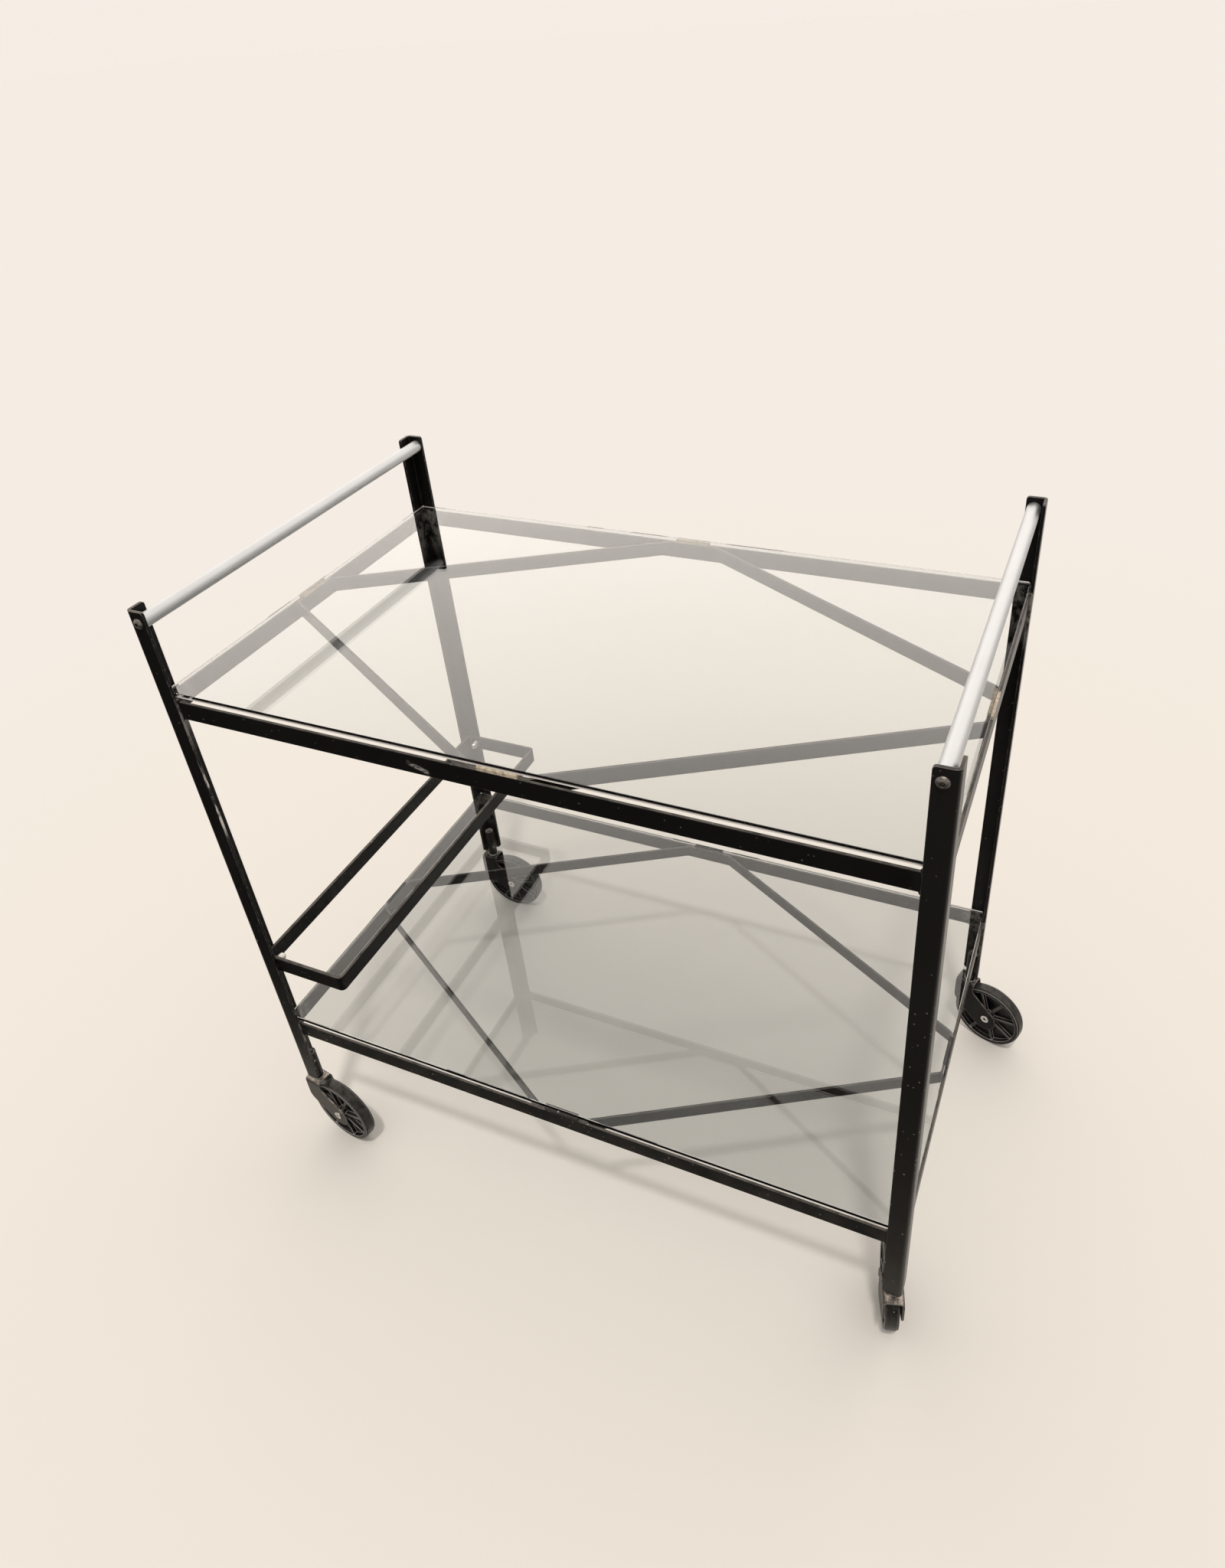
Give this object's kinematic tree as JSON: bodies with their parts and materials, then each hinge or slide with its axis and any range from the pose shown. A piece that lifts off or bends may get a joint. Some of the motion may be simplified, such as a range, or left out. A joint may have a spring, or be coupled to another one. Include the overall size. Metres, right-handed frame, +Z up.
{
  "type": "serving cart",
  "caption": "Tiered serving cart: black angle-steel frame, smoked glass shelves on diamond braces, round push bars, a bottle rail and swivel casters.",
  "frame": {"origin": "on the floor below the middle of the frame's four posts", "axes": "+X along the cart, away from the bottle rail; -Y its front; +Z up"},
  "size_m": [0.821, 0.4699, 0.7695],
  "materials": {
    "black_steel": "satin black paint",
    "smoked_glass": "polished, smoked grey",
    "pad_rubber": "aged amber rubber",
    "push_bar_aluminium": "matte, fine lengthwise grain",
    "screw_steel": "dark oiled steel",
    "zinc_steel": "dull zinc plate",
    "sleeve_nylon": "natural nylon",
    "fork_steel": "worn black lacquer",
    "wheel_plastic": "moulded black plastic",
    "tyre_rubber": "worn black rubber"
  },
  "bodies": {
    "frame": {"post_front_left": "black_steel", "post_front_right": "black_steel", "post_back_left": "black_steel", "post_back_right": "black_steel", "top_rail_front": "black_steel", "top_rail_back": "black_steel", "top_rail_left": "black_steel", "top_rail_right": "black_steel", "top_brace": "black_steel", "top_glass_pads": "pad_rubber", "top_glass": "smoked_glass", "lower_rail_front": "black_steel", "lower_rail_back": "black_steel", "lower_rail_left": "black_steel", "lower_rail_right": "black_steel", "lower_brace": "black_steel", "lower_glass_pads": "pad_rubber", "lower_glass": "smoked_glass", "handle_left": "push_bar_aluminium", "handle_right": "push_bar_aluminium", "handle_screws": "screw_steel", "bottle_rail": "black_steel", "bottle_rail_studs": "zinc_steel", "bottle_rail_nuts": "zinc_steel", "caster_socket_front_left": "black_steel", "caster_socket_front_right": "black_steel", "caster_socket_back_left": "black_steel", "caster_socket_back_right": "black_steel", "stem_sleeve_front_left": "sleeve_nylon", "stem_sleeve_front_right": "sleeve_nylon", "stem_sleeve_back_left": "sleeve_nylon", "stem_sleeve_back_right": "sleeve_nylon"},
    "caster_front_left": {"caster_fork_front_left": "fork_steel", "caster_stem_front_left": "zinc_steel", "caster_washer_front_left": "zinc_steel", "axle_front_left": "zinc_steel"},
    "rolling_front_left": {"wheel_front_left": "wheel_plastic", "tyre_front_left": "tyre_rubber"},
    "caster_front_right": {"caster_fork_front_right": "fork_steel", "caster_stem_front_right": "zinc_steel", "caster_washer_front_right": "zinc_steel", "axle_front_right": "zinc_steel"},
    "rolling_front_right": {"wheel_front_right": "wheel_plastic", "tyre_front_right": "tyre_rubber"},
    "caster_back_left": {"caster_fork_back_left": "fork_steel", "caster_stem_back_left": "zinc_steel", "caster_washer_back_left": "zinc_steel", "axle_back_left": "zinc_steel"},
    "rolling_back_left": {"wheel_back_left": "wheel_plastic", "tyre_back_left": "tyre_rubber"},
    "caster_back_right": {"caster_fork_back_right": "fork_steel", "caster_stem_back_right": "zinc_steel", "caster_washer_back_right": "zinc_steel", "axle_back_right": "zinc_steel"},
    "rolling_back_right": {"wheel_back_right": "wheel_plastic", "tyre_back_right": "tyre_rubber"}
  },
  "joints": [
    {"name": "caster_swivel_front_left", "type": "hinge", "parent": "frame", "child": "caster_front_left", "pos_m": [-0.3654, -0.2179, 0.09296], "axis": [0, 0, 1], "continuous": true},
    {"name": "wheel_roll_front_left", "type": "hinge", "parent": "caster_front_left", "child": "rolling_front_left", "pos_m": [-0.33379, -0.22291, 0.045], "axis": [0.1564, 0.9877, 0], "continuous": true},
    {"name": "caster_swivel_front_right", "type": "hinge", "parent": "frame", "child": "caster_front_right", "pos_m": [0.3654, -0.2179, 0.09296], "axis": [0, 0, 1], "continuous": true},
    {"name": "wheel_roll_front_right", "type": "hinge", "parent": "caster_front_right", "child": "rolling_front_right", "pos_m": [0.35658, -0.18714, 0.045], "axis": [-0.9613, -0.2756, 0], "continuous": true},
    {"name": "caster_swivel_back_left", "type": "hinge", "parent": "frame", "child": "caster_back_left", "pos_m": [-0.3654, 0.2179, 0.09296], "axis": [0, 0, 1], "continuous": true},
    {"name": "wheel_roll_back_left", "type": "hinge", "parent": "caster_back_left", "child": "rolling_back_left", "pos_m": [-0.3334, 0.2179, 0.045], "axis": [0, 1, 0], "continuous": true},
    {"name": "caster_swivel_back_right", "type": "hinge", "parent": "frame", "child": "caster_back_right", "pos_m": [0.3654, 0.2179, 0.09296], "axis": [0, 0, 1], "continuous": true},
    {"name": "wheel_roll_back_right", "type": "hinge", "parent": "caster_back_right", "child": "rolling_back_right", "pos_m": [0.39583, 0.20801, 0.045], "axis": [0.309, 0.9511, 0], "continuous": true}
  ]
}
